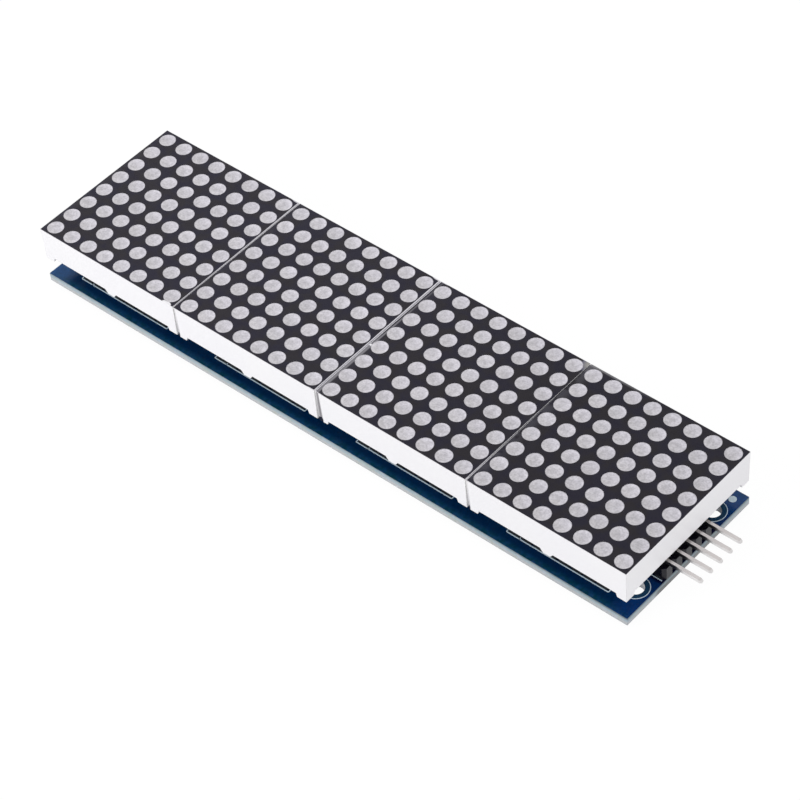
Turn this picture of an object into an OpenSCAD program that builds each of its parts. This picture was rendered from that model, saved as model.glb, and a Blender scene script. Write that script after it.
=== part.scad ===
// Row of four 8 x 8 LED dot matrix displays, plugged into one driver board. Millimetres.
// X runs along the row towards the input header, Y across it, Z up through the faces.
// The origin is the middle of the board's underside, amid its four screw holes.

/* [Dots] */
// Distance between neighbouring dots, along and across the row
dot_pitch = 4; // [3.8:0.05:5]
// Diameter of a dot on the face
dot_d = 3; // [2.4:0.1:3.4]
// Diameter of a reflector well at its floor
well_floor_d = 1.9; // [1.2:0.1:2.3]
// How far the resin lies below the face
resin_sink = 0.04; // [0:0.01:0.2]
// Hair gap that cured resin and soldered joints leave round what they were cast on
cast_gap = 0.01; // [0.005:0.005:0.02]

/* [Display housing] */
// Gap between the faces of two neighbouring displays
display_gap = 0.2; // [0.1:0.05:0.6]
// Height of the housing from its face down to its rim
housing_h = 6; // [5.5:0.1:9]
// How far each side leans in from the face down to the feet
side_draft = 0.12; // [0:0.02:0.3]
// Thickness of the wall round the recess, at the height of the face
wall_t = 0.9; // [0.7:0.05:1.1]
// How far the feet stand below the rim
foot_h = 0.8; // [0.4:0.05:1.2]
// Width of a corner foot at its sole
corner_foot_w = 1.8; // [1.4:0.1:3]
// How far the flank of a corner foot slopes out up to the rim
corner_flank = 0.25; // [0.1:0.05:0.6]
// Width of the middle foot at its sole
middle_foot_w = 1.4; // [1:0.1:3]
// How far each flank of the middle foot slopes out up to the rim
middle_flank = 0.6; // [0.1:0.05:0.8]

/* [Inner board and pins] */
// Thickness of the inner board
chip_board_t = 1; // [0.6:0.1:1.2]
// Gap between the inner board and the recess wall
chip_board_fit = 0.15; // [0.05:0.05:0.3]
// Thickness of the resin seal behind the inner board
seal_t = 0.6; // [0.3:0.1:0.8]
// How deep the seal lies above the rim
seal_depth = 0.6; // [0.3:0.1:1]
// Width of an LED die
die_w = 0.3; // [0.2:0.05:0.5]
// Height of an LED die
die_h = 0.12; // [0.1:0.01:0.2]
// Diameter of a display pin
pin_d = 0.5; // [0.4:0.02:0.6]
// Distance between neighbouring pins of a row
pin_pitch = 2.54; // [2:0.01:2.6]
// Distance between the two pin rows of a display
row_span = 24; // [20:0.1:26]
// How deep a pin sits in its contact
pin_insertion = 1.9; // [1:0.1:2]

/* [Sockets] */
// Height of a socket strip
socket_h = 3; // [2.8:0.1:4]
// Width of a socket strip
socket_w = 2.5; // [2.2:0.05:2.6]
// Depth of the notches between the segments of a strip
socket_notch = 0.3; // [0.1:0.05:0.4]
// Height of the display's feet above the sockets
seat_gap = 0.85; // [0.4:0.05:1.5]
// Diameter of a contact's head
contact_head_d = 1.5; // [1.3:0.05:1.7]
// Thickness of a contact's head
contact_head_t = 0.4; // [0.3:0.05:0.6]
// Diameter of a contact's barrel
contact_barrel_d = 1.2; // [1:0.05:1.25]
// Diameter of the bore that takes the pin
contact_bore_d = 0.75; // [0.65:0.05:0.85]
// Depth of that bore
contact_bore_h = 2.2; // [2.1:0.1:2.5]
// Diameter of the soldered tail
tail_d = 0.5; // [0.4:0.05:0.6]
// How far the tails reach below the board
tail_reach = 1.3; // [1:0.1:2]
// Gap round a contact in its strip
contact_fit = 0.02; // [0.01:0.01:0.05]

/* [Board] */
// Thickness of the board
board_t = 1.6; // [1:0.1:2]
// How much shorter the board is than the pitch length of its displays
board_end_gap = 0.2; // [0.1:0.1:0.6]
// How much narrower the board is than the pitch of its displays
board_side_gap = 0.3; // [0.1:0.1:0.6]
// Diameter of a screw hole
screw_hole_d = 3; // [2.5:0.1:3.2]
// Distance from the board's end to the screw holes
screw_edge = 2.9; // [2.5:0.1:3.5]
// Distance between the two screw holes of an end
screw_span = 20; // [18:0.5:24]
// Diameter of the hole for a socket tail
tail_hole_d = 0.8; // [0.7:0.05:0.9]
// Diameter of the pad under a soldered tail
pad_d = 1.7; // [1.4:0.1:1.9]
// Height of a solder joint
solder_h = 0.7; // [0.5:0.05:0.9]
// Thickness of the solder collar at the end of its fillet
solder_collar = 0.1; // [0.05:0.05:0.2]

/* [Input header and output holes] */
// Number of header pins, and of output holes
header_count = 5; // [3:1:5]
// Distance between neighbouring header pins
header_pitch = 2.54; // [2.4:0.01:2.7]
// Distance from the board's end to the header pins and output holes
header_edge = 1.25; // [1.25:0.05:2]
// Height of the header's plastic
header_h = 2.54; // [2:0.02:2.6]
// Width of the header's plastic
header_w = 2.5; // [2.2:0.05:2.5]
// Depth of the notches between its segments
header_notch = 0.55; // [0.2:0.05:0.7]
// Thickness of a square header pin
header_pin_t = 0.64; // [0.5:0.02:0.7]
// Gap between the header's plastic and the pins that bend out over it
header_rise = 0.54; // [0.5:0.01:0.9]
// Radius inside the bend of a header pin
header_bend_r = 0.4; // [0.2:0.05:0.5]
// How far the header pins reach past the board's end
header_reach = 6.4; // [4:0.1:9]
// Length of the tapered tip of a header pin
header_taper = 0.4; // [0.2:0.1:1.5]
// Thickness of a header pin at its very tip
header_tip_t = 0.4; // [0.2:0.02:0.48]
// How far the header pins reach below the board
header_tail = 1.2; // [1:0.05:1.3]
// Gap between a header pin and the plastic round it
header_fit = 0.02; // [0.01:0.01:0.05]
// Diameter of the hole for a header pin
header_hole_d = 1.02; // [1:0.02:1.1]
// Clear diameter of an output hole
output_hole_d = 1; // [0.8:0.05:1.2]
// Diameter of the ring round an output hole
output_ring_d = 1.8; // [1.6:0.05:2]
// Thickness of the copper in and round an output hole
plating_t = 0.05; // [0.03:0.01:0.08]

/* [Driver chip] */
// Length of the chip's body
chip_l = 15.4; // [15:0.1:16]
// Width of the chip's body
chip_w = 7.5; // [7:0.1:8]
// Height of the chip's body
chip_h = 2.3; // [1.8:0.1:2.6]
// Height of the body's underside above the board
chip_standoff = 0.1; // [0.05:0.05:0.3]
// How far the faces of the body lean in from its parting line
chip_draft = 0.18; // [0.05:0.01:0.3]
// Number of leads on each long side of the chip
lead_count = 12; // [8:1:12]
// Distance between neighbouring leads
lead_pitch = 1.27; // [1:0.01:1.27]
// Width of a lead
lead_w = 0.4; // [0.3:0.02:0.5]
// Thickness of a lead
lead_t = 0.25; // [0.2:0.01:0.3]
// Distance over the toes of the leads of both sides
lead_span = 10.3; // [10:0.1:11]
// Length of the lead's foot on the board
lead_foot = 0.6; // [0.4:0.05:0.7]
// Radius inside the bends of a lead
lead_bend_r = 0.2; // [0.1:0.02:0.25]
// How deep a lead is moulded into the body
lead_root = 0.4; // [0.2:0.05:0.8]
// Diameter of the dimple at the first lead
dimple_d = 1.2; // [0.6:0.1:1.5]
// Depth of the dimple
dimple_h = 0.1; // [0.05:0.05:0.3]

/* [Chip parts beside the driver] */
// Length, width and height of the bulk capacitor
bulk_size = [3.2, 1.6, 1.6];
// Length, width and height of the bypass capacitor
bypass_size = [2, 1.25, 0.85];
// Length, width and height of the current setting resistor
resistor_size = [2, 1.25, 0.5];
// Length of the metal cap on each end of these parts
cap_l = 0.4; // [0.25:0.05:0.5]
// How far the metal caps stand proud of the body between them
cap_proud = 0.03; // [0.01:0.01:0.06]
// Distance from the display's middle to the bulk capacitor, along the row
bulk_x = -5.5; // [-7:0.1:-4]
// Distance from the display's middle to the bypass capacitor, along the row
bypass_x = -0.8; // [-2:0.1:1]
// Distance from the display's middle to the resistor, along the row
resistor_x = 4; // [3:0.1:6]

/* [Hidden] */
$fn = 48;
// Overrun of a cutting shape past the surface that it opens
cut = 1;
display_count = 4;
dots_per_side = 8;
pins_per_row = 8;

display_pitch = dots_per_side * dot_pitch;
display_side = display_pitch - display_gap;
board_l = display_count * display_pitch - board_end_gap;
board_w = display_pitch - board_side_gap;

// Heights, from the board up
socket_top = board_t + socket_h;
foot_z = socket_top + seat_gap;
rim_z = foot_z + foot_h;
face_z = rim_z + housing_h;
seal_z = rim_z + seal_depth;
chip_board_z = seal_z + seal_t;
well_floor_z = chip_board_z + chip_board_t;
well_h = face_z - well_floor_z;
header_pin_z = board_t + header_h + header_rise + header_pin_t / 2;
chip_z = board_t + chip_standoff;
lead_z = chip_z + chip_h / 2;

recess_side = display_side - 2 * wall_t;
header_x = board_l / 2 - header_edge;
header_tip_x = board_l / 2 + header_reach;
screw_x = board_l / 2 - screw_edge;
// Middle line of the small parts, between the lead toes and the rear sockets
parts_y = (lead_span / 2 + (row_span - socket_w) / 2) / 2;

// Middle of the nth of count places that lie pitch apart about zero
function spread(n, count, pitch) = (n - (count - 1) / 2) * pitch;

// Moves its children to the middle of one display
module at_display(n) {
    translate([spread(n - 1, display_count, display_pitch), 0, 0]) children();
}

// Puts its children at each dot of a display
module at_dots() {
    for (column = [0 : dots_per_side - 1], row = [0 : dots_per_side - 1])
        translate([
            spread(column, dots_per_side, dot_pitch),
            spread(row, dots_per_side, dot_pitch),
            0
        ]) children();
}

// Puts its children at each pin of one pin row, on the row's own middle line
module along_row() {
    for (i = [0 : pins_per_row - 1])
        translate([spread(i, pins_per_row, pin_pitch), 0, 0]) children();
}

// Puts its children at each pin of both rows of a display
module at_pins() {
    for (side = [-1, 1])
        translate([0, side * row_span / 2, 0]) along_row() children();
}

// Puts its children at each pin of the header, or at each output hole with end = -1
module at_header(end = 1) {
    for (i = [0 : header_count - 1])
        translate([end * header_x, spread(i, header_count, header_pitch), 0]) children();
}

// Turns a profile drawn in X and Z into a bar along Y
module bar_along_y(length) {
    rotate([90, 0, 0]) linear_extrude(length, center = true) children();
}

// Turns a profile drawn in Y and Z into a bar along X
module bar_along_x(length) {
    rotate([90, 0, 90]) linear_extrude(length, center = true) children();
}

// A quarter of a bent strip about its own centre, from the angle start on
module quarter_bend(inner_r, thickness, start) {
    intersection() {
        difference() {
            circle(inner_r + thickness);
            circle(inner_r);
        }
        rotate(start) square(inner_r + thickness);
    }
}

// Outline of a strip of joined segments with chamfered corners, along X
module strip_outline(count, pitch, width, notch) {
    start = -count * pitch / 2;
    front = [
        [start, notch - width / 2],
        for (i = [0 : count - 1])
        each [
            [start + i * pitch + notch, -width / 2],
            [start + (i + 1) * pitch - notch, -width / 2],
            [start + (i + 1) * pitch, notch - width / 2]
        ]
    ];
    rear = [for (i = [len(front) - 1 : -1 : 0]) [front[i].x, -front[i].y]];
    polygon(concat(front, rear));
}

// ---- Display housing ----

// Outline of the housing seen from one side, with or without the middle foot
module housing_profile(middle_foot) {
    top = display_side / 2;
    sole = top - side_draft;
    foot_in = sole - corner_foot_w;
    right = [
        [top, face_z],
        [sole, foot_z],
        [foot_in, foot_z],
        [foot_in - corner_flank, rim_z]
    ];
    foot = [
        [middle_foot_w / 2 + middle_flank, rim_z],
        [middle_foot_w / 2, foot_z]
    ];
    half = middle_foot ? concat(right, foot) : right;
    left = [for (i = [len(half) - 1 : -1 : 0]) [-half[i].x, half[i].y]];
    polygon(concat(half, left));
}

// Cone of one reflector well, from below its floor up to the given distance over the face
module well(below, above) {
    slope = (dot_d - well_floor_d) / well_h;
    translate([0, 0, well_floor_z - below])
        cylinder(
            h = well_h + below + above,
            d1 = well_floor_d - slope * below,
            d2 = dot_d + slope * above
        );
}

module housing(n) {
    color("white") at_display(n) difference() {
        intersection() {
            bar_along_y(display_side) housing_profile(true);
            bar_along_x(display_side) housing_profile(false);
        }
        translate([-recess_side / 2, -recess_side / 2, foot_z - cut])
            cube([recess_side, recess_side, well_floor_z - foot_z + cut]);
        at_dots() well(cast_gap, cut);
    }
}

// ---- Inside a display ----

// One cast plug, with the pocket that its LED die leaves
module resin_plug() {
    slope = (dot_d - well_floor_d) / well_h;
    plug_h = well_h - resin_sink;
    pocket = die_w + 2 * cast_gap;
    translate([0, 0, well_floor_z]) difference() {
        cylinder(
            h = plug_h,
            d1 = well_floor_d - 2 * cast_gap,
            d2 = dot_d - slope * resin_sink - 2 * cast_gap
        );
        translate([-pocket / 2, -pocket / 2, -cut])
            cube([pocket, pocket, cut + die_h + cast_gap]);
    }
}

module resin_fill(n) {
    seal_side = recess_side - 2 * cast_gap;
    color("gainsboro") at_display(n) {
        at_dots() resin_plug();
        difference() {
            translate([-seal_side / 2, -seal_side / 2, seal_z])
                cube([seal_side, seal_side, seal_t]);
            at_pins() translate([0, 0, seal_z - cut])
                cylinder(h = seal_t + 2 * cut, d = pin_d + 2 * cast_gap);
        }
    }
}

module chip_board(n) {
    side = recess_side - 2 * chip_board_fit;
    color("darkolivegreen") at_display(n) difference() {
        translate([-side / 2, -side / 2, chip_board_z]) cube([side, side, chip_board_t]);
        at_pins() translate([0, 0, chip_board_z - cut])
            cylinder(h = chip_board_t + 2 * cut, d = pin_d + 2 * cast_gap);
    }
}

module led_dies(n) {
    color("gold") at_display(n) at_dots()
        translate([-die_w / 2, -die_w / 2, well_floor_z]) cube([die_w, die_w, die_h]);
}

// The pins run from the top of the inner board down into the contacts
module display_pins(n) {
    tip_z = socket_top - pin_insertion;
    point_h = pin_d / 2;
    color("silver") at_display(n) at_pins() {
        translate([0, 0, tip_z]) cylinder(h = point_h, d1 = pin_d / 2, d2 = pin_d);
        translate([0, 0, tip_z + point_h])
            cylinder(h = well_floor_z - tip_z - point_h, d = pin_d);
    }
}

// ---- Sockets ----

// One strip with a stepped hole for each contact, side = -1 in front and 1 at the rear
module socket_strip(n, side) {
    color([0.08, 0.08, 0.09]) at_display(n) translate([0, side * row_span / 2, 0])
        difference() {
            translate([0, 0, board_t]) linear_extrude(socket_h)
                strip_outline(pins_per_row, pin_pitch, socket_w, socket_notch);
            along_row() translate([0, 0, board_t - cut])
                cylinder(h = socket_h + 2 * cut, d = contact_barrel_d + 2 * contact_fit);
            along_row() translate([0, 0, socket_top - contact_head_t])
                cylinder(h = contact_head_t + cut, d = contact_head_d + 2 * contact_fit);
        }
}

// Turned contact: head, barrel with a countersunk bore, and soldered tail
module contact() {
    head_r = contact_head_d / 2;
    barrel_r = contact_barrel_d / 2;
    bore_r = contact_bore_d / 2;
    tail_r = tail_d / 2;
    countersink = (head_r - bore_r) / 2;
    rotate_extrude() polygon([
        [0, -tail_reach],
        [tail_r / 2, -tail_reach],
        [tail_r, tail_r / 2 - tail_reach],
        [tail_r, board_t],
        [barrel_r, board_t],
        [barrel_r, socket_top - contact_head_t],
        [head_r, socket_top - contact_head_t],
        [head_r, socket_top],
        [bore_r + countersink, socket_top],
        [bore_r, socket_top - countersink],
        [bore_r, socket_top - contact_bore_h],
        [0, socket_top - contact_bore_h]
    ]);
}

module socket_contacts(n) {
    color("tan") at_display(n) at_pins() contact();
}

// ---- Board ----

module circuit_board() {
    plated_d = output_hole_d + 2 * plating_t + 2 * cast_gap;
    color([0.04, 0.15, 0.33]) difference() {
        translate([-board_l / 2, -board_w / 2, 0]) cube([board_l, board_w, board_t]);
        for (end = [-1, 1], side = [-1, 1])
            translate([end * screw_x, side * screw_span / 2, -cut])
                cylinder(h = board_t + 2 * cut, d = screw_hole_d);
        for (n = [1 : display_count]) at_display(n) at_pins() translate([0, 0, -cut])
            cylinder(h = board_t + 2 * cut, d = tail_hole_d);
        at_header() translate([0, 0, -cut]) cylinder(h = board_t + 2 * cut, d = header_hole_d);
        at_header(-1) translate([0, 0, -cut]) cylinder(h = board_t + 2 * cut, d = plated_d);
    }
}

// One plated hole: a thin barrel with a ring on each side of the board
module plated_hole() {
    inner_r = output_hole_d / 2;
    barrel_r = inner_r + plating_t;
    ring_r = output_ring_d / 2;
    rotate_extrude() polygon([
        [inner_r, -plating_t],
        [ring_r, -plating_t],
        [ring_r, 0],
        [barrel_r, 0],
        [barrel_r, board_t],
        [ring_r, board_t],
        [ring_r, board_t + plating_t],
        [inner_r, board_t + plating_t]
    ]);
}

module output_pads() {
    color("lightgray") at_header(-1) plated_hole();
}

// Fillet of solder under the board: a collar round the tail, and a hollow sweep to the pad's rim
module solder_fillet(inner_r, collar_r) {
    pad_r = pad_d / 2;
    sweep_r = pad_r - collar_r;
    sweep_z = -plating_t - sweep_r;
    rotate_extrude() {
        translate([inner_r, -solder_h]) square([collar_r - inner_r, solder_h]);
        difference() {
            translate([inner_r, sweep_z]) square([pad_r - inner_r, -sweep_z]);
            translate([pad_r, sweep_z]) circle(sweep_r);
        }
    }
}

module solder_joints() {
    tail_r = tail_d / 2;
    square_hole = header_pin_t + 2 * cast_gap;
    color("silver") {
        for (n = [1 : display_count]) at_display(n) at_pins()
            solder_fillet(tail_r + cast_gap, tail_r + solder_collar);
        at_header() difference() {
            solder_fillet(0, header_pin_t * sqrt(2) / 2 + solder_collar);
            translate([-square_hole / 2, -square_hole / 2, -solder_h - cut])
                cube([square_hole, square_hole, solder_h + 2 * cut]);
        }
    }
}

// ---- Input header ----

module header_base() {
    hole = header_pin_t + 2 * header_fit;
    color([0.08, 0.08, 0.09]) difference() {
        translate([header_x, 0, board_t]) linear_extrude(header_h) rotate(90)
            strip_outline(header_count, header_pitch, header_w, header_notch);
        at_header() translate([-hole / 2, -hole / 2, board_t - cut])
            cube([hole, hole, header_h + 2 * cut]);
    }
}

// Side view of a header pin: up through the board, round the bend and out past the end
module header_pin_side() {
    half = header_pin_t / 2;
    point = header_tip_t / 2;
    bend_z = header_pin_z - half - header_bend_r;
    bend_x = header_x + half + header_bend_r;
    polygon([
        [header_x - point, -header_tail],
        [header_x + point, -header_tail],
        [header_x + half, half - header_tail],
        [header_x + half, bend_z],
        [header_x - half, bend_z],
        [header_x - half, half - header_tail]
    ]);
    translate([bend_x, bend_z]) quarter_bend(header_bend_r, header_pin_t, 90);
    polygon([
        [bend_x, header_pin_z - half],
        [header_tip_x - header_taper, header_pin_z - half],
        [header_tip_x, header_pin_z - point],
        [header_tip_x, header_pin_z + point],
        [header_tip_x - header_taper, header_pin_z + half],
        [bend_x, header_pin_z + half]
    ]);
}

// A header pin seen from above, with its tapered tip
module header_pin_plan() {
    half = header_pin_t / 2;
    point = header_tip_t / 2;
    polygon([
        [header_x - half, -half],
        [header_tip_x - header_taper, -half],
        [header_tip_x, -point],
        [header_tip_x, point],
        [header_tip_x - header_taper, half],
        [header_x - half, half]
    ]);
}

// A header pin seen from its tip, with its tapered tail
module header_pin_end() {
    half = header_pin_t / 2;
    point = header_tip_t / 2;
    top = header_pin_z + half;
    polygon([
        [-point, -header_tail],
        [point, -header_tail],
        [half, half - header_tail],
        [half, top],
        [-half, top],
        [-half, half - header_tail]
    ]);
}

module header_pin() {
    span = 2 * (header_tip_x + cut);
    height = header_pin_z + header_pin_t / 2 + header_tail + 2 * cut;
    intersection() {
        bar_along_y(header_pin_t) header_pin_side();
        translate([0, 0, -header_tail - cut]) linear_extrude(height) header_pin_plan();
        bar_along_x(span) header_pin_end();
    }
}

module header_pins() {
    color("lightgray") for (i = [0 : header_count - 1])
        translate([0, spread(i, header_count, header_pitch), 0]) header_pin();
}

// ---- Driver chip ----

// Outline of the moulded body seen from one side, widest at its parting line
module chip_profile(width) {
    ridge = width / 2;
    edge = ridge - chip_draft;
    polygon([
        [-edge, chip_z],
        [edge, chip_z],
        [ridge, lead_z],
        [edge, chip_z + chip_h],
        [-edge, chip_z + chip_h],
        [-ridge, lead_z]
    ]);
}

// Puts its children at each lead of both long sides of the chip
module at_leads() {
    for (turn = [0, 180], i = [0 : lead_count - 1])
        rotate(turn) translate([spread(i, lead_count, lead_pitch), 0, 0]) children();
}

module driver_chip(n) {
    slot_w = lead_w + 2 * cast_gap;
    slot_t = lead_t + 2 * cast_gap;
    slot_y = chip_w / 2 - lead_root - cast_gap;
    dimple_in = chip_draft + dimple_d;
    color([0.12, 0.12, 0.13]) at_display(n) difference() {
        intersection() {
            bar_along_y(chip_w) chip_profile(chip_l);
            bar_along_x(chip_l) chip_profile(chip_w);
        }
        at_leads() translate([-slot_w / 2, slot_y, lead_z - slot_t / 2])
            cube([slot_w, lead_root + cut, slot_t]);
        translate([dimple_in - chip_l / 2, dimple_in - chip_w / 2, chip_z + chip_h - dimple_h])
            cylinder(h = dimple_h + cut, d = dimple_d);
    }
}

// Side view of one gull-wing lead: shoulder, two bends and the foot on the board
module lead_profile() {
    toe = lead_span / 2;
    root = chip_w / 2 - lead_root;
    riser_out = toe - lead_foot;
    riser_in = riser_out - lead_t;
    under = lead_z - lead_t / 2;
    foot_top = board_t + lead_t;
    translate([root, under]) square([riser_in - lead_bend_r - root, lead_t]);
    translate([riser_in - lead_bend_r, under - lead_bend_r])
        quarter_bend(lead_bend_r, lead_t, 0);
    translate([riser_in, foot_top + lead_bend_r])
        square([lead_t, under - foot_top - 2 * lead_bend_r]);
    translate([riser_out + lead_bend_r, foot_top + lead_bend_r])
        quarter_bend(lead_bend_r, lead_t, 180);
    translate([riser_out + lead_bend_r, board_t]) square([lead_foot - lead_bend_r, lead_t]);
}

module chip_leads(n) {
    color("silver") at_display(n) at_leads() bar_along_x(lead_w) lead_profile();
}

// ---- Chip parts beside the driver ----

// A ceramic body between two metal caps, lying on the board
module chip_part(n, x, size, body_color) {
    body = [size.x - 2 * cap_l, size.y - 2 * cap_proud, size.z - 2 * cap_proud];
    at_display(n) translate([x, parts_y, board_t]) {
        color(body_color) translate([-body.x / 2, -body.y / 2, cap_proud]) cube(body);
        color("silver") for (side = [-1, 1])
            translate([side * (size.x - cap_l) / 2 - cap_l / 2, -size.y / 2, 0])
                cube([cap_l, size.y, size.z]);
    }
}

module bulk_capacitor(n) {
    chip_part(n, bulk_x, bulk_size, "tan");
}

module bypass_capacitor(n) {
    chip_part(n, bypass_x, bypass_size, "tan");
}

module set_resistor(n) {
    chip_part(n, resistor_x, resistor_size, [0.1, 0.1, 0.1]);
}

circuit_board();
output_pads();
header_base();
header_pins();
solder_joints();
for (n = [1 : display_count]) {
    housing(n);
    resin_fill(n);
    chip_board(n);
    led_dies(n);
    display_pins(n);
    socket_strip(n, -1);
    socket_strip(n, 1);
    socket_contacts(n);
    driver_chip(n);
    chip_leads(n);
    bypass_capacitor(n);
    bulk_capacitor(n);
    set_resistor(n);
}
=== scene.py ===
"""Looks of the LED dot matrix module: four inked displays on one blue driver board.

Lengths are written in millimetres and turned into metres with MM.
X runs along the row, Y across it, Z up through the faces.
"""

import math

import bmesh
import bpy
from mathutils import Matrix, Vector


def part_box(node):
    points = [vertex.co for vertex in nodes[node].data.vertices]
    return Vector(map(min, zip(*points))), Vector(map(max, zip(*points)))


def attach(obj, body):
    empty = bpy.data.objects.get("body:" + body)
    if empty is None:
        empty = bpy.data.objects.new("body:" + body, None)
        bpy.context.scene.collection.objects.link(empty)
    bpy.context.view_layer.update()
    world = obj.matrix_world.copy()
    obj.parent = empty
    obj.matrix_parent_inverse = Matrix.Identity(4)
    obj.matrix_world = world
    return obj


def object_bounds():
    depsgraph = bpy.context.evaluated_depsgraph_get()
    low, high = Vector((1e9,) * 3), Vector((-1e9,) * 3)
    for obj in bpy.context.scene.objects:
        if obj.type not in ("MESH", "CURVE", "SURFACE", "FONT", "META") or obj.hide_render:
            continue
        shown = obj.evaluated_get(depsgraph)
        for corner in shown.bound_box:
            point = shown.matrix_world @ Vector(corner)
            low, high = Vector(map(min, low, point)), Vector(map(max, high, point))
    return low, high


MM = 0.001
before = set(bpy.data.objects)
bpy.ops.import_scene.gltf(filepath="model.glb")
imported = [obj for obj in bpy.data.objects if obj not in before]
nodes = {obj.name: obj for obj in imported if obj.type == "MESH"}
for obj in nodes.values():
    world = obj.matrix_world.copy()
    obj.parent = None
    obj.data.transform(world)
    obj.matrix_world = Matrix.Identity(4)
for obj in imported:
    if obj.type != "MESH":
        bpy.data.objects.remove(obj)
cad_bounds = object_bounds()

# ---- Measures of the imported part, in millimetres ----

DISPLAYS = (1, 2, 3, 4)
DOTS = 8
DOT_PITCH = 4.0
DISPLAY_PITCH = DOTS * DOT_PITCH
ROW_HALF = len(DISPLAYS) / 2 * DISPLAY_PITCH
PIN_PITCH = 2.54
PINS_PER_ROW = 8
HEADER_PINS = 5
SCREW_EDGE = 2.9
SCREW_SPAN = 20.0
# Outer radius of the printed rings round the screw holes
RING_R = 2.43


def box_mm(node):
    low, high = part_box(node)
    return low / MM, high / MM


def middle_mm(node):
    low, high = box_mm(node)
    return (low + high) / 2


board_low, board_high = box_mm("circuit_board")
housing_low, housing_high = box_mm("housing_1")
header_low, header_high = box_mm("header_base")
pads_high = box_mm("output_pads")[1]
face_z = housing_high.z
board_top = board_high.z
display_half = (housing_high.x - housing_low.x) / 2
chip_board_z = box_mm("chip_board_1")[0].z

# ---- Finishes ----


def paint(red, green, blue):
    """A display colour of 0 to 255 a channel as the linear colour that a shader takes."""
    shares = [channel / 255 for channel in (red, green, blue)]
    linear = [s / 12.92 if s <= 0.04045 else ((s + 0.055) / 1.055) ** 2.4 for s in shares]
    return (*linear, 1.0)


class Finish:
    """One material, with the node moves that its pattern is made of."""

    def __init__(self, name, colour, roughness, **constants):
        self.material = bpy.data.materials.new(name)
        self.material.use_nodes = True
        self.tree = self.material.node_tree
        self.shader = self.tree.nodes["Principled BSDF"]
        self.shader.inputs["Base Color"].default_value = colour
        self.shader.inputs["Roughness"].default_value = roughness
        for socket, value in constants.items():
            self.shader.inputs[socket.replace("_", " ")].default_value = value
        self.spot = None

    def node(self, kind, **settings):
        made = self.tree.nodes.new("ShaderNode" + kind)
        for setting, value in settings.items():
            setattr(made, setting, value)
        return made

    def feed(self, socket, value):
        if isinstance(value, bpy.types.NodeSocket):
            self.tree.links.new(value, socket)
        else:
            socket.default_value = value

    def place(self):
        """Place on the object, in millimetres."""
        if self.spot is None:
            where = self.node("TexCoord").outputs["Object"]
            scaled = self.node("VectorMath", operation="SCALE")
            self.feed(scaled.inputs[0], where)
            scaled.inputs["Scale"].default_value = 1 / MM
            self.spot = scaled.outputs[0]
        return self.spot

    def axes(self):
        split = self.node("SeparateXYZ")
        self.feed(split.inputs[0], self.place())
        return split.outputs[:]

    def math(self, operation, first, second=0.0):
        made = self.node("Math", operation=operation)
        self.feed(made.inputs[0], first)
        self.feed(made.inputs[1], second)
        return made.outputs[0]

    def times(self, product, *factors):
        for factor in factors:
            product = self.math("MULTIPLY", product, factor)
        return product

    def rest(self, share):
        """What a share leaves of the whole."""
        return self.math("SUBTRACT", 1.0, share)

    def off(self, axis, middle):
        """Distance from the middle, either way."""
        return self.math("ABSOLUTE", self.math("SUBTRACT", axis, middle))

    def step(self, value, start, end, low=0.0, high=1.0):
        """Goes smoothly from low to high as value goes from start to end."""
        made = self.node("MapRange", interpolation_type="SMOOTHSTEP")
        for socket, given in zip(("Value", "From Min", "From Max", "To Min", "To Max"),
                                 (value, start, end, low, high)):
            self.feed(made.inputs[socket], given)
        return made.outputs[0]

    def vector(self, x, y, z):
        joined = self.node("CombineXYZ")
        for socket, given in zip(joined.inputs, (x, y, z)):
            self.feed(socket, given)
        return joined.outputs[0]

    def length(self, x, y):
        made = self.node("VectorMath", operation="LENGTH")
        self.feed(made.inputs[0], self.vector(x, y, 0.0))
        return made.outputs["Value"]

    def noise(self, size, detail=2.0, stretch=None):
        """Cloudy pattern of the given feature size in millimetres, about 0.5."""
        made = self.node("TexNoise")
        spot = self.place()
        if stretch:
            mapping = self.node("Mapping")
            self.feed(mapping.inputs["Vector"], spot)
            mapping.inputs["Scale"].default_value = stretch
            spot = mapping.outputs[0]
        self.feed(made.inputs["Vector"], spot)
        made.inputs["Scale"].default_value = 1 / size
        made.inputs["Detail"].default_value = detail
        return made.outputs[0]

    def blend(self, share, first, second):
        made = self.node("Mix", data_type="RGBA")
        self.feed(made.inputs[0], share)
        self.feed(made.inputs[6], first)
        self.feed(made.inputs[7], second)
        return made.outputs[2]

    def shade(self, colour, factor):
        """The colour made lighter or darker by the factor."""
        made = self.node("VectorMath", operation="SCALE")
        self.feed(made.inputs[0], colour)
        self.feed(made.inputs["Scale"], factor)
        return made.outputs[0]

    def relief(self, height, depth, edge_r=0.0):
        """Bump of that depth in millimetres, on edges softened to the radius."""
        bump = self.node("Bump")
        bump.inputs["Distance"].default_value = depth * MM
        self.feed(bump.inputs["Height"], height)
        if edge_r:
            soft = self.node("Bevel", samples=6)
            soft.inputs["Radius"].default_value = edge_r * MM
            self.feed(bump.inputs["Normal"], soft.outputs[0])
        self.feed(self.shader.inputs["Normal"], bump.outputs[0])

    def paint_with(self, colour):
        self.feed(self.shader.inputs["Base Color"], colour)

    def dull_with(self, roughness):
        self.feed(self.shader.inputs["Roughness"], roughness)


def dot_cell(finish, x, y):
    """Place within the dot's own cell, and the cell's number both ways."""
    cells = []
    for axis in (x, y):
        shifted = finish.math("ADD", axis, ROW_HALF)
        within = finish.math("FLOORED_MODULO", shifted, DOT_PITCH)
        number = finish.math("FLOOR", finish.math("DIVIDE", shifted, DOT_PITCH))
        cells.append((finish.math("SUBTRACT", within, DOT_PITCH / 2), number))
    return cells


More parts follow.
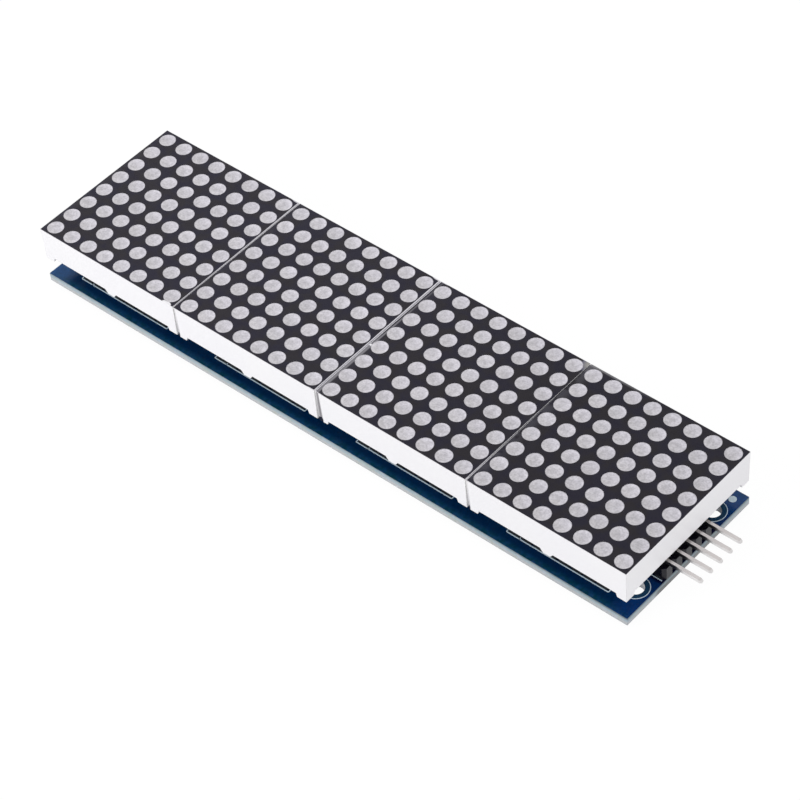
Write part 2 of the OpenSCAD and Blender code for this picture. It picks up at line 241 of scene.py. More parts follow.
# How far inside the face's edge the ink ends, how much that wavers, and how soft its end is
INK_MARGIN = 0.02
INK_WAVER = 0.03
INK_BLUR = 0.02
# Seam, side of it, and how much ink is worn off that side at the front and at the rear
SEAM_WEAR = (
    (-DISPLAY_PITCH, -1, 0.05, 0.2),
    (0.0, -1, 0.11, 0.19),
    (0.0, 1, 0.08, 0.08),
    (DISPLAY_PITCH, -1, 0.04, -0.03),
    (DISPLAY_PITCH, 1, 0.07, -0.04),
)
# Seam, how far right of it the painted shadow line greys the front at its top and at its
# foot, and how strongly at both
SEAM_SHADOW_LINES = (
    (-DISPLAY_PITCH, 0.26, 0.42, 0.26, 0.5),
    (0.0, 0.66, 0.9, 0.8, 0.78),
    (DISPLAY_PITCH, 0.23, 0.4, 0.22, 0.5),
)
# A little more than the sides and the front of a housing lean in
SIDE_LEAN = 0.125
FRONT_LEAN = 0.2
# Foot of the housing's front, away from its feet
FRONT_FOOT_Z = 5.9
# Size of the painted sheen spot at the rear corner where the last two displays meet
SHEEN_X = 1.7
SHEEN_Y = 2.3
INK_GLOSS = 0.16
PLASTIC_GLOSS = 0.4
PLASTIC_DULL = 0.42


def ink_edges(f, x, y, along):
    """How far each place lies inside the ragged edge of the ink, which is worn at the seams."""
    outermost = f.math("MAXIMUM", f.off(along, DISPLAY_PITCH / 2), f.math("ABSOLUTE", y))
    waver = f.times(f.math("SUBTRACT", f.noise(2.4), 0.5), 2 * INK_WAVER)
    inside = f.math("ADD", f.math("SUBTRACT", display_half, outermost), waver)
    for seam, side, front, rear in SEAM_WEAR:
        away = f.times(f.math("SUBTRACT", x, seam), side)
        near = f.times(f.math("GREATER_THAN", away, 0.0), f.step(away, 2.0, 1.0))
        worn = f.times(near, f.step(y, -display_half, display_half, front, rear))
        inside = f.math("SUBTRACT", inside, worn)
    return inside


def oval(f, x, y, middle_x, middle_y, half_x, half_y):
    """1 inside an oval spot of a flat side, 0 well outside it."""
    off_x = f.math("DIVIDE", f.math("SUBTRACT", x, middle_x), half_x)
    off_y = f.math("DIVIDE", f.math("SUBTRACT", y, middle_y), half_y)
    return f.step(f.length(off_x, off_y), 1.1, 0.9)


def shade_facing_sides(f, plastic, x, y, z, along):
    """Paints shade on the sides where two displays face each other, most at the middle seam."""
    at_side = f.math("GREATER_THAN", f.off(along, DISPLAY_PITCH / 2), display_half - SIDE_LEAN)
    inner = f.math("LESS_THAN", f.math("ABSOLUTE", x), ROW_HALF - 1.0)
    gap_shade = f.blend(f.step(x, -4.0, -2.0), paint(232, 230, 236), paint(242, 240, 246))
    # Painted shade deep in the last seam, darkest towards the rear
    last = f.blend(f.step(y, -14.0, -2.0), paint(236, 234, 240), paint(88, 86, 92))
    gap_shade = f.blend(f.step(x, 2.0, 4.0), gap_shade, last)
    # Paler near the face and near the front, where light falls in
    behind_front = f.step(y, 0.4 - display_half, 1.4 - display_half)
    deep = f.times(f.step(z, face_z - 0.04, face_z - 0.3), behind_front)
    in_middle = f.times(f.step(f.math("ABSOLUTE", x), 4.0, 2.0), behind_front)
    pale = f.blend(in_middle, paint(255, 254, 255), paint(228, 226, 232))
    return f.blend(f.times(at_side, inner), plastic, f.blend(deep, pale, gap_shade))


def shade_seam_fronts(f, plastic, x, y, z):
    """Paints a shadow line down the front right of each seam, where the gap widens, and paints
    shade in its open foot.

    Gives the colour, and how far each place lies in the painted shade of an open foot.
    """
    grey = 0.0
    dark = 0.0
    for seam, top_x, foot_x, top_share, foot_share in SEAM_SHADOW_LINES:
        line_x = f.step(z, face_z, housing_low.z, seam + top_x, seam + foot_x)
        share = f.step(z, face_z - 2.0, housing_low.z, top_share, foot_share)
        rising = f.step(x, seam - 0.1, seam + 0.9 * top_x)
        falling = f.step(f.math("SUBTRACT", x, line_x), 0.0, 0.3, 1.0, 0.0)
        grey = f.math("MAXIMUM", grey, f.times(rising, falling, share))
        open_foot_shade = oval(f, x, z, seam + 0.85 * foot_x, FRONT_FOOT_Z - 0.1, 0.42 * foot_x, 0.7)
        dark = f.math("MAXIMUM", dark, open_foot_shade)
    # Painted shade in the open foot of the middle seam, which stands open as far as its left side
    dark = f.math("MAXIMUM", dark, oval(f, x, z, 0.32, FRONT_FOOT_Z - 0.15, 0.45, 0.55))
    on_front = f.math("LESS_THAN", y, FRONT_LEAN - display_half)
    seam_shadowed = f.blend(f.times(grey, on_front), plastic, paint(62, 54, 66))
    dark = f.times(dark, on_front)
    return f.blend(dark, seam_shadowed, paint(12, 18, 40)), dark


def paint_corner_sheen(f, ink, x, y):
    """Paints a sheen on the ink at the rear corner where the last two displays meet."""
    off_x = f.math("DIVIDE", f.math("SUBTRACT", x, DISPLAY_PITCH), SHEEN_X)
    off_y = f.math("DIVIDE", f.math("SUBTRACT", y, display_half), SHEEN_Y)
    off = f.length(off_x, off_y)
    on_last = f.math("GREATER_THAN", off_x, 0.0)
    grey = f.blend(f.step(off, 0.25, 0.85), paint(158, 156, 153), paint(108, 107, 122))
    grey = f.blend(on_last, grey, paint(92, 90, 97))
    ink = f.blend(f.step(off, 1.0, 0.75), ink, grey)
    # Painted sheen along the rear edge of the last display too
    rear_edge = f.step(y, display_half - 0.55, display_half - 0.1)
    rear_edge = f.times(rear_edge, on_last, f.step(off_x, 9.0, 1.0, 0.0, 0.8))
    return f.blend(rear_edge, ink, paint(142, 141, 144))


def scuff_middle(f, ink, x, y):
    """Scuffs the ink right of the middle seam, but for a dark line left in the rear half."""
    scuffed = f.times(f.math("GREATER_THAN", x, 0.0), f.step(x, 0.9, 0.6))
    scuffed = f.times(scuffed, f.step(y, 1.0, 12.0, 0.95, 0.35))
    dark_line = f.step(f.off(x, 0.36), 0.17, 0.07)
    dark_line = f.times(dark_line, f.step(y, -3.0, 2.0, 0.15, 1.0))
    return f.blend(f.times(scuffed, f.rest(dark_line)), ink, paint(138, 136, 142))


def ink_tone(f, x, y, along):
    """Blackish ink, cloudy, paler to the left with a painted fall-off of light, and with painted
    sheen along left edges.
    """
    # Painted fall-off of light: the ink paler towards the left end of the row
    paler_share = f.step(x, 1.6 * DISPLAY_PITCH, -1.6 * DISPLAY_PITCH)
    warm = f.blend(paler_share, paint(37, 34, 39), paint(47, 44, 50))
    cool = f.blend(paler_share, paint(33, 31, 44), paint(43, 41, 55))
    ink = f.blend(f.step(f.noise(2.6, detail=3.0), 0.36, 0.64), warm, cool)
    # Painted sheen in blotches along the left edges, strongest on the last display
    near_left = f.step(along, 2.3, 0.5)
    blotch = f.step(f.noise(1.9), 0.36, 0.6)
    strength = f.step(x, DISPLAY_PITCH - 1.0, DISPLAY_PITCH, 0.2, 0.5)
    ink = f.blend(f.times(near_left, blotch, strength), ink, paint(84, 83, 90))
    return scuff_middle(f, paint_corner_sheen(f, ink, x, y), x, y)


def white_housing_finish():
    """White moulded plastic, its face printed with dark ink up to the dots."""
    f = Finish("white_housing_inked", paint(251, 250, 254), PLASTIC_DULL)
    x, y, z = f.axes()
    along = f.math("FLOORED_MODULO", f.math("ADD", x, ROW_HALF), DISPLAY_PITCH)
    plastic = f.blend(f.noise(9.0), paint(250, 249, 254), paint(254, 253, 255))
    # Painted fall-off of light: the plastic darker towards the right end of the row
    plastic = f.shade(plastic, f.step(x, -ROW_HALF, ROW_HALF, 1.0, 0.955))
    plastic = shade_facing_sides(f, plastic, x, y, z, along)
    plastic, open_foot_shade = shade_seam_fronts(f, plastic, x, y, z)
    # The ink is thin and grey where it runs out
    printed = f.step(ink_edges(f, x, y, along), INK_MARGIN - INK_BLUR, INK_MARGIN + INK_BLUR)
    near_middle = f.step(f.math("ABSOLUTE", x), 4.0, 2.0)
    worn = f.blend(near_middle, paint(205, 203, 209), paint(226, 224, 230))
    top = f.blend(printed, worn, ink_tone(f, x, y, along))
    # It is missing at the front right corner of the first display, and in one chip
    bare = oval(f, x, y, -DISPLAY_PITCH - 1.6, -display_half, 1.0, 0.55)
    bare = f.math("MAXIMUM", bare, oval(f, x, y, 0.45, -2.45, 0.24, 0.22))
    on_face = f.math("GREATER_THAN", z, face_z - 0.02)
    inked = f.times(on_face, f.rest(bare))
    f.paint_with(f.blend(inked, plastic, top))
    gloss = f.step(inked, 0.0, 1.0, PLASTIC_GLOSS, INK_GLOSS)
    # Little gloss in the painted shade of the open feet
    gloss = f.times(gloss, f.step(open_foot_shade, 0.0, 1.0, 1.0, 0.1))
    f.feed(f.shader.inputs["Specular IOR Level"], gloss)
    ink_dull = f.step(f.noise(1.1, detail=4.0), 0.3, 0.7, 0.0, 0.18)
    f.dull_with(f.math("ADD", f.times(inked, ink_dull), PLASTIC_DULL))
    grain = f.math("ADD", f.times(f.noise(0.25, detail=3.0), 0.5), inked)
    f.relief(grain, 0.012, edge_r=0.1)
    return f.material


def milky_resin_finish():
    """Milky cast resin, with painted light and shade of its well beneath: brighter where the wall
    of the well lies close below.
    """
    f = Finish("milky_resin", paint(200, 197, 203), 0.3, Specular_IOR_Level=0.35)
    x, y, z = f.axes()
    (cell_x, column), (cell_y, row) = dot_cell(f, x, y)
    radius = f.length(cell_x, cell_y)
    random = f.node("TexWhiteNoise", noise_dimensions="3D")
    f.feed(random.inputs["Vector"], f.vector(column, row, 0.0))
    # Painted light and shade: darker and warmer on one side of a dot, lighter and bluer on the
    # other, as light falls on the sunken resin
    sideways = f.math("ADD", f.times(cell_x, 0.5), cell_y)
    sideways = f.math("ADD", sideways, f.times(f.noise(1.3), 1.6))
    body = f.blend(f.step(sideways, -0.9, 2.5), paint(198, 195, 199), paint(213, 210, 219))
    mottled = f.step(f.noise(0.8, detail=3.0), 0.34, 0.66, 0.9, 1.08)
    fine = f.step(f.noise(0.34, detail=3.0), 0.34, 0.66, 0.89, 1.09)
    body = f.shade(body, f.times(mottled, fine))
    # Painted shade and light: the deep floor of the well shows as a slightly darker disc, its wall
    # as a paler rim
    body = f.shade(body, f.step(radius, 0.1, 1.25, 0.95, 1.035))
    rim = f.step(f.off(radius, 1.3), 0.13, 0.05, 1.0, 1.045)
    body = f.shade(body, rim)
    body = f.blend(f.step(radius, 1.38, 1.5), body, paint(186, 183, 191))
    tone = f.step(random.outputs["Value"], 0.0, 1.0, 0.965, 1.025)
    # Painted fall-off of light: the dots darker towards the right end of the row
    row_light_falloff = f.step(x, -0.5 * DISPLAY_PITCH, ROW_HALF, 1.08, 0.98)
    dots = f.shade(body, f.times(tone, row_light_falloff))
    on_face = f.math("GREATER_THAN", z, chip_board_z + 0.5)
    f.paint_with(f.blend(on_face, paint(196, 184, 150), dots))
    f.relief(f.noise(0.6), 0.02)
    return f.material


# How thick the solder mask shows on the board
MASK_SKIN = 0.035
# How far to either side of the middle the board has painted shade under the header, and its end a
# painted shadow of the pins
UNDER_HEADER_Y = 7.1
PIN_SHADOW_Y = 8.5
# How far in front of its middle the flat top of a header pin starts
PIN_FLAT = 0.2


def mask_tone(f, x, y, z, to_side, to_end):
    """Dark blue, brighter towards the ends with a painted reflection, greener along the sides,
    where it is thin and the painted reflection lies too, and with painted shade under the header.
    """
    mask = f.blend(f.noise(14.0), paint(0, 34, 76), paint(1, 44, 84))
    # Painted reflection: the mask brighter towards the ends of the board, at the right end more
    # towards the rear
    last_end = f.blend(f.step(y, 9.0, 14.0), paint(8, 49, 106), paint(16, 68, 130))
    end = f.blend(f.step(x, -20.0, 20.0), paint(25, 76, 131), last_end)
    mask = f.blend(f.step(to_end, 5.0, 2.0), mask, end)
    # Greener along the sides, where the mask is thin, with a painted reflection there as well
    speckle = f.step(f.noise(0.9, detail=3.0), 0.35, 0.65)
    green = f.blend(speckle, paint(10, 66, 84), paint(26, 74, 118))
    paler_share = f.times(f.step(to_side, 1.6, 0.1, 0.0, 0.85), f.step(to_end, 2.0, 5.0, 0.4, 1.0))
    mask = f.blend(paler_share, mask, green)
    mask = f.shade(mask, f.step(f.noise(0.35, detail=3.0), 0.3, 0.7, 0.86, 1.12))
    # Greener inside the printed rings round the screw holes
    hole_x = f.math("SUBTRACT", f.math("ABSOLUTE", x), board_high.x - SCREW_EDGE)
    hole_y = f.math("SUBTRACT", f.math("ABSOLUTE", y), SCREW_SPAN / 2)
    ringed = f.step(f.length(hole_x, hole_y), RING_R - 0.08, RING_R - 0.28)
    mask = f.blend(ringed, mask, paint(28, 66, 98))
    # Painted shade: darkest under the header, where the header shades the board
    across = f.step(f.math("ABSOLUTE", y), UNDER_HEADER_Y + 0.3, UNDER_HEADER_Y - 0.3)
    under = f.times(f.step(x, header_low.x - 0.6, header_low.x), across)
    under = f.times(under, f.math("GREATER_THAN", z, board_top / 2))
    return f.blend(under, mask, paint(8, 14, 56))


def fibre_tone(f, x, y, z, to_side, to_end):
    """Layers of glass fibre, paler low down and in its holes, with a painted fall-off of light and
    a painted shadow of the pins.
    """
    layers = f.noise(0.5, detail=4.0, stretch=(0.35, 0.35, 6.0))
    fibre = f.blend(layers, paint(140, 160, 170), paint(188, 203, 211))
    fibre = f.blend(f.step(z, board_top * 0.6, board_top * 0.3), fibre, paint(190, 192, 195))
    tinge = f.blend(f.step(f.noise(1.7), 0.4, 0.6), paint(176, 184, 172), paint(190, 198, 214))
    fibre = f.blend(f.step(f.noise(0.9, detail=3.0), 0.42, 0.7, 0.0, 0.5), fibre, tinge)
    # Painted fall-off of light: the edge darker towards the right end, and darker towards its top,
    # most at the right
    fibre = f.shade(fibre, f.step(x, 0.0, 60.0, 1.0, 0.91))
    top_shade = f.step(x, 20.0, 60.0, 0.8, 0.55)
    fibre = f.shade(fibre, f.step(z, 0.65 * board_top, 0.9 * board_top, 1.09, top_shade))
    # Painted shadow of the pins on the header end, below them
    across = f.step(f.math("ABSOLUTE", y), PIN_SHADOW_Y + 0.7, PIN_SHADOW_Y - 0.7)
    pin_shadow = f.times(across, f.step(y, -PIN_SHADOW_Y, PIN_SHADOW_Y, 0.56, 0.42))
    pin_shadow = f.times(pin_shadow, f.step(z, 0.75 * board_top, 0.45 * board_top, 0.25, 1.0))
    pin_shadow = f.times(pin_shadow, f.math("GREATER_THAN", x, board_high.x - 0.3))
    fibre = f.blend(pin_shadow, fibre, paint(62, 56, 50))
    in_hole = f.times(f.math("GREATER_THAN", to_side, 0.5), f.math("GREATER_THAN", to_end, 0.5))
    return f.blend(in_hole, fibre, paint(232, 234, 238))


def board_finish():
    """Blue solder mask above and below, and bare sawn glass fibre between."""
    f = Finish("blue_solder_mask", paint(0, 44, 90), 0.28, Specular_IOR_Level=0.2)
    x, y, z = f.axes()
    to_side = f.math("SUBTRACT", board_high.y, f.math("ABSOLUTE", y))
    to_end = f.math("SUBTRACT", board_high.x, f.math("ABSOLUTE", x))
    mask = mask_tone(f, x, y, z, to_side, to_end)
    fibre = fibre_tone(f, x, y, z, to_side, to_end)
    above = f.math("GREATER_THAN", z, board_top - MASK_SKIN)
    masked = f.math("MAXIMUM", above, f.math("LESS_THAN", z, MASK_SKIN))
    f.paint_with(f.blend(masked, fibre, mask))
    f.dull_with(f.step(masked, 0.0, 1.0, 0.75, 0.12))
    rough_edge = f.times(f.noise(0.3, detail=4.0), f.rest(masked))
    f.relief(f.math("ADD", f.times(f.noise(1.6), 0.5), rough_edge), 0.03)
    return f.material


def plain_finish(name, light, dark, size, roughness, depth, edge_r=0.0, stretch=None, **constants):
    """A finish of two close tones in a cloudy pattern, with a fine relief."""
    f = Finish(name, light, roughness, **constants)
    f.paint_with(f.blend(f.noise(size, detail=3.0, stretch=stretch), dark, light))
    f.dull_with(f.step(f.noise(size * 0.6), 0.25, 0.75, roughness * 0.85, roughness * 1.2))
    f.relief(f.noise(size * 0.3, detail=3.0, stretch=stretch), depth, edge_r)
    return f.material


def header_pin_finish():
    """Tin plating, duller on top, with a painted dark reflection of the board on the sides where
    the pins pass over it.
    """
    f = Finish("tin_plated_header_pin", paint(222, 217, 215), 0.3, Metallic=0.65)
    x, y, z = f.axes()
    tip, _, top = box_mm("header_pins")[1]
    edge = board_high.x
    streaks = f.noise(1.2, detail=3.0, stretch=(0.3, 1.0, 1.0))
    sides = f.blend(streaks, paint(226, 223, 223), paint(238, 236, 236))
    # Painted reflection of the dark board on the sides, from the header out past the board's edge,
    # the tails below the board included
    sides = f.blend(f.step(x, edge + 1.3, edge + 3.2), paint(46, 46, 52), sides)
    tops = f.blend(streaks, paint(204, 199, 197), paint(220, 215, 214))
    # Painted light on the tops over the board, where the housing shades them
    tops = f.shade(tops, f.step(x, edge, edge + 2.0, 1.07, 1.0))
    # The front edge of a pin's top is rounded, and carries the same painted dark reflection as its
    # side over the board
    across = f.math("FLOORED_MODULO", f.math("ADD", y, HEADER_PINS / 2 * PIN_PITCH), PIN_PITCH)
    flat_top = f.step(f.math("SUBTRACT", across, PIN_PITCH / 2), -PIN_FLAT - 0.05, -PIN_FLAT)
    flat_top = f.math("MAXIMUM", flat_top, f.step(x, edge + 1.5, edge + 2.5))
    flat_top = f.times(flat_top, f.step(z, top - 0.06, top - 0.02))
    plating = f.blend(flat_top, sides, tops)
    f.paint_with(f.shade(plating, f.step(x, tip - 0.9, tip, 1.0, 0.85)))
    f.relief(f.noise(0.36), 0.004, edge_r=0.03)
    return f.material


# Length of a tinned cap on a small ceramic part
CAP_L = 0.4


def capped_finish(name, node, body_light, body_dark):
    """A ceramic body with a tinned cap on each end along X."""
    low, high = box_mm(node)
    f = Finish(name, body_light, 0.4)
    from_middle = f.off(f.axes()[0], (low.x + high.x) / 2)
    capped = f.math("GREATER_THAN", from_middle, (high.x - low.x) / 2 - CAP_L)
    body = f.blend(f.noise(0.5, detail=3.0), body_dark, body_light)
    f.paint_with(f.blend(capped, body, paint(205, 205, 208)))
    f.feed(f.shader.inputs["Metallic"], capped)
    f.relief(f.noise(0.2), 0.01, edge_r=0.08)
    return f.material


FINISHES = {
    "white_housing": white_housing_finish(),
    "milky_resin": milky_resin_finish(),
    "board": board_finish(),
    "header_plastic": plain_finish(
        "black_header_strip", paint(22, 20, 32), paint(16, 15, 24), 1.5, 0.3, 0.01, 0.08,
        Specular_IOR_Level=0.24
    ),
    "header_pin": header_pin_finish(),
    "socket_plastic": plain_finish(
        "black_socket_strip", paint(20, 21, 26), paint(15, 16, 20), 1.5, 0.45, 0.01, 0.05,
        Specular_IOR_Level=0.25
    ),
    "plated_pin": plain_finish(
        "tin_plated_pin", paint(222, 217, 215), paint(206, 201, 198), 1.2, 0.2, 0.004, 0.03,
        stretch=(0.3, 1.0, 1.0), Metallic=0.9
    ),
    "solder": plain_finish(
        "bright_solder", paint(212, 213, 216), paint(176, 178, 182), 0.7, 0.26, 0.02, Metallic=1.0
    ),
    "tinned_copper": plain_finish(
        "tinned_copper", paint(214, 214, 214), paint(190, 190, 190), 0.6, 0.3, 0.01, Metallic=1.0
    ),
    "inner_board": plain_finish(
        "bare_glass_board", paint(150, 154, 110), paint(128, 134, 92), 1.0, 0.6, 0.01
    ),
    "led_die": plain_finish(
        "semiconductor_die", paint(214, 190, 110), paint(180, 150, 80), 0.1, 0.3, 0.002
    ),
    "turned_contact": plain_finish(
        "tinned_brass_contact", paint(216, 204, 176), paint(190, 176, 146), 0.4, 0.28, 0.004,
        stretch=(1.0, 1.0, 4.0), Metallic=1.0
    ),
    "chip_body": plain_finish(
        "matt_chip_epoxy", paint(44, 44, 47), paint(34, 34, 36), 0.5, 0.62, 0.012, 0.06
    ),
}

FINISH_OF = {
    "circuit_board": "board",
    "output_pads": "tinned_copper",
    "header_base": "header_plastic",
    "header_pins": "header_pin",
    "solder_joints": "solder",
    "housing": "white_housing",
    "resin_fill": "milky_resin",
    "chip_board": "inner_board",
    "led_dies": "led_die",
    "display_pins": "plated_pin",
    "socket_front": "socket_plastic",
    "socket_rear": "socket_plastic",
    "socket_contacts": "turned_contact",
    "driver_chip": "chip_body",
    "chip_leads": "plated_pin",
}

CAPPED = {
    "bypass_capacitor": ("buff_ceramic", paint(176, 146, 110), paint(158, 128, 94)),
    "bulk_capacitor": ("brown_ceramic", paint(150, 116, 82), paint(134, 102, 70)),
    "set_resistor": ("black_glaze", paint(40, 40, 43), paint(30, 30, 33)),
}

for name, node in nodes.items():
    stem = name.rsplit("_", 1)[0] if name[-1].isdigit() else name
    if stem in CAPPED:
        look, light, dark = CAPPED[stem]
        finish = capped_finish(f"{look}_{name[-1]}", name, light, dark)
    else:
        finish = FINISHES[FINISH_OF[stem]]
    node.data.materials.clear()
    node.data.materials.append(finish)

# ---- New pieces: printing, tracks and pads on the board ----

# How deep a printed or etched line starts inside the board, so that no gap shows under it
ROOT = 0.004

PRINT_T = 0.03
PRINT_W = 0.19
RING_W = 0.13
# Room between a socket strip and its printed outline, and what is cut off the corners
OUTLINE_ROOM = 0.04
OUTLINE_CUT = 0.15
# Room between the printed end outlines and the board's edge or the output holes, and
# between them and the header's back and sides
END_ROOM = 0.4
HEADER_ROOM = 0.3
END_REACH = header_high.y + 0.25
SIGHT_MARK_R = 0.68
SIGHT_MARK_X = board_high.x - 1.8
SIGHT_MARK_Y = board_high.y - 2.0

# Leads on each side of a driver chip, their pitch, and how far out their toes reach
LEADS = 12
LEAD_PITCH = 1.27
LEAD_TOE = 5.15
# Rows of socket pins, and the row where the tracks of the rear leads pass through the board
SOCKET_Y = 12.0
REAR_VIA_Y = 6.4

TRACK_T = 0.018
POWER_W = 1.0
SIGNAL_W = 0.3
VIA_R = 0.35
SUPPLY_LINES = 2
# How far the lines below the board stop short of the holes at its ends
LINE_GAP = 1.1
# Straight ends of a fanned track, at the chip's lead and at the socket's pin
LEAD_STUB = 0.5
PIN_STUB = 0.6
# How far short of the middle of its pin a track stops above the board, and below it
TOP_STOP = 1.3
BELOW_STOP = 1.0

PAD_T = 0.05
# Length and width of a lead's pad, and how far its middle lies inside the lead's toe
LEAD_PAD = (0.6, 1.5)
LEAD_PAD_BACK = 0.35
# Length of a pad under the cap of a small part, and what it shows beside the part
CAP_PAD_L = 1.1
CAP_PAD_ROOM = 0.15

silkscreen_ink = plain_finish(
    "pale_board_print", paint(226, 246, 255), paint(212, 234, 254), 0.6, 0.55, 0.004
)
masked_track = plain_finish(
    "track_under_mask", paint(4, 58, 116), paint(2, 50, 104), 2.0, 0.28, 0.004,
    Specular_IOR_Level=0.3
)


def spread(i, count, pitch):
    """Middle of the ith of count places that lie pitch apart about zero."""
    return (i - (count - 1) / 2) * pitch


def corner_verts(extruded):
    return [item for item in extruded["geom"] if isinstance(item, bmesh.types.BMVert)]


def raise_line(bm, edges, width, height):
    """Raises an upright wall along the edges, then thickens it inwards to the line's width."""
    wall = bmesh.ops.extrude_edge_only(bm, edges=edges)
    bmesh.ops.translate(bm, vec=(0, 0, height * MM), verts=corner_verts(wall))
    faces = [item for item in wall["geom"] if isinstance(item, bmesh.types.BMFace)]
    bmesh.ops.recalc_face_normals(bm, faces=faces)
    bmesh.ops.solidify(bm, geom=faces, thickness=width * MM)


def draw_line(bm, points, base, width, height, closed=False):
    """A line through points of X and Y, all in millimetres, standing on the height base."""
    verts = [bm.verts.new((x * MM, y * MM, base * MM)) for x, y in points]
    following = verts[1:] + verts[:1] if closed else verts[1:]
    raise_line(bm, [bm.edges.new(pair) for pair in zip(verts, following)], width, height)


def draw_ring(bm, x, y, radius, base, width, height):
    """A ring about a point, its width lying inside the radius."""
    place = Matrix.Translation(Vector((x, y, base)) * MM)
    circle = bmesh.ops.create_circle(bm, segments=64, radius=radius * MM, matrix=place)
    edges = {edge for vert in circle["verts"] for edge in vert.link_edges}
    raise_line(bm, list(edges), width, height)


def lay_disc(bm, x, y, radius, base, height, segments=32):
    place = Matrix.Translation(Vector((x, y, base + height / 2)) * MM)
    bmesh.ops.create_cone(
        bm, cap_ends=True, segments=segments, radius1=radius * MM, radius2=radius * MM,
        depth=height * MM, matrix=place
    )


def lay_block(bm, x, y, base, length, width, height):
    """A block by its middle in X and Y, and its foot in Z."""
    size = Matrix.Diagonal((length * MM, width * MM, height * MM, 1))
    place = Matrix.Translation(Vector((x, y, base + height / 2)) * MM)
    bmesh.ops.create_cube(bm, size=1, matrix=place @ size)


def finish_piece(name, bm, material):
    bmesh.ops.recalc_face_normals(bm, faces=bm.faces[:])
    mesh = bpy.data.meshes.new(name)
    bm.to_mesh(mesh)
    bm.free()
    mesh.materials.append(material)
    piece = bpy.data.objects.new(name, mesh)
    bpy.context.scene.collection.objects.link(piece)
    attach(piece, "root")


def screw_holes():
    for end in (board_low.x + SCREW_EDGE, board_high.x - SCREW_EDGE):
        for side in (-SCREW_SPAN / 2, SCREW_SPAN / 2):
            yield end, side


def socket_outline(bm, node, base, height):
    """Printed outline round a socket strip, its corners cut and its first pin marked off."""
    low, high = box_mm(node)
    clear = OUTLINE_ROOM + PRINT_W
    cut = OUTLINE_CUT
    left, right = low.x - clear, high.x + clear
    front, rear = low.y - clear, high.y + clear
    draw_line(
        bm,
        [
            (left, front + cut), (left + cut, front), (right - cut, front), (right, front + cut),
            (right, rear - cut), (right - cut, rear), (left + cut, rear), (left, rear - cut)
        ],
        base, PRINT_W, height, closed=True
    )
    lay_block(bm, low.x + PIN_PITCH, low.y, base, PRINT_W, 2 * clear, height)


def end_outline(bm, inner_x, front_x, rear_x, base, height):
    """Printed line round three sides of the header or of the output holes."""
    draw_line(
        bm,
        [(front_x, -END_REACH), (inner_x, -END_REACH), (inner_x, END_REACH), (rear_x, END_REACH)],
        base, PRINT_W, height
    )


def rings_and_outlines(bm, base, height):
    """Rings round the screw holes, and outlines of the sockets or of their solder joints."""
    for x, y in screw_holes():
        draw_ring(bm, x, y, RING_R, base, RING_W, height)
    for n in DISPLAYS:
        for side in ("front", "rear"):
            socket_outline(bm, f"socket_{side}_{n}", base, height)


def printing_on_top():
    bm = bmesh.new()
    base = board_top - ROOT
    height = PRINT_T + ROOT
    rings_and_outlines(bm, base, height)
    # The line along the rear side of the header stops short of the board's edge
    front_x, rear_x = board_high.x - END_ROOM, header_high.x - 1.0
    end_outline(bm, header_low.x - HEADER_ROOM, front_x, rear_x, base, height)
    outer_x = board_low.x + END_ROOM
    end_outline(bm, pads_high.x + END_ROOM, outer_x, outer_x, base, height)
    # Sight marks for the machine that lays the parts on the board
    for x in (-SIGHT_MARK_X, SIGHT_MARK_X):
        lay_disc(bm, x, SIGHT_MARK_Y, SIGHT_MARK_R, base, height)
    finish_piece("board_print_top", bm, silkscreen_ink)


def printing_below():
    bm = bmesh.new()
    rings_and_outlines(bm, -PRINT_T, PRINT_T + ROOT)
    finish_piece("board_print_below", bm, silkscreen_ink)


def fan(n, side, start_y, end_y):
    """Ways from the eight middle leads of a driver chip out to the pins of one socket."""
    middle = middle_mm(f"driver_chip_{n}").x
    for i in range(PINS_PER_ROW):
        lead_x = middle + spread(i, PINS_PER_ROW, LEAD_PITCH)
        pin_x = middle + spread(i, PINS_PER_ROW, PIN_PITCH)
        yield [
            (lead_x, side * start_y), (lead_x, side * (start_y + LEAD_STUB)),
            (pin_x, side * (end_y - PIN_STUB)), (pin_x, side * end_y)
        ]


def tracks_on_top():
    bm = bmesh.new()
    base = board_top - ROOT
    height = TRACK_T + ROOT
    for n in DISPLAYS:
        for way in fan(n, -1, LEAD_TOE, SOCKET_Y - TOP_STOP):
            draw_line(bm, way, base, SIGNAL_W, height)
        for way in fan(n, 1, LEAD_TOE, SOCKET_Y):
            lead_x = way[0][0]
            draw_line(bm, [way[0], (lead_x, REAR_VIA_Y)], base, SIGNAL_W, height)
            lay_disc(bm, lead_x, REAR_VIA_Y, VIA_R, base, height, segments=12)
    finish_piece("tracks_top", bm, masked_track)


def tracks_below():
    """Supply and signal lines from end to end, and the ways to the rear sockets."""
    bm = bmesh.new()
    height = TRACK_T + ROOT
    start = middle_mm("output_pads").x + LINE_GAP
    end = middle_mm("header_base").x - LINE_GAP
    for i in range(HEADER_PINS):
        y = spread(i, HEADER_PINS, PIN_PITCH)
        width = POWER_W if i >= HEADER_PINS - SUPPLY_LINES else SIGNAL_W
        lay_block(bm, (start + end) / 2, y, -TRACK_T, end - start, width, height)
    for n in DISPLAYS:
        for way in fan(n, 1, REAR_VIA_Y, SOCKET_Y - BELOW_STOP):
            draw_line(bm, way, -TRACK_T, SIGNAL_W, height)
            lay_disc(bm, way[0][0], REAR_VIA_Y, VIA_R, -TRACK_T, height, segments=12)
    finish_piece("tracks_below", bm, masked_track)


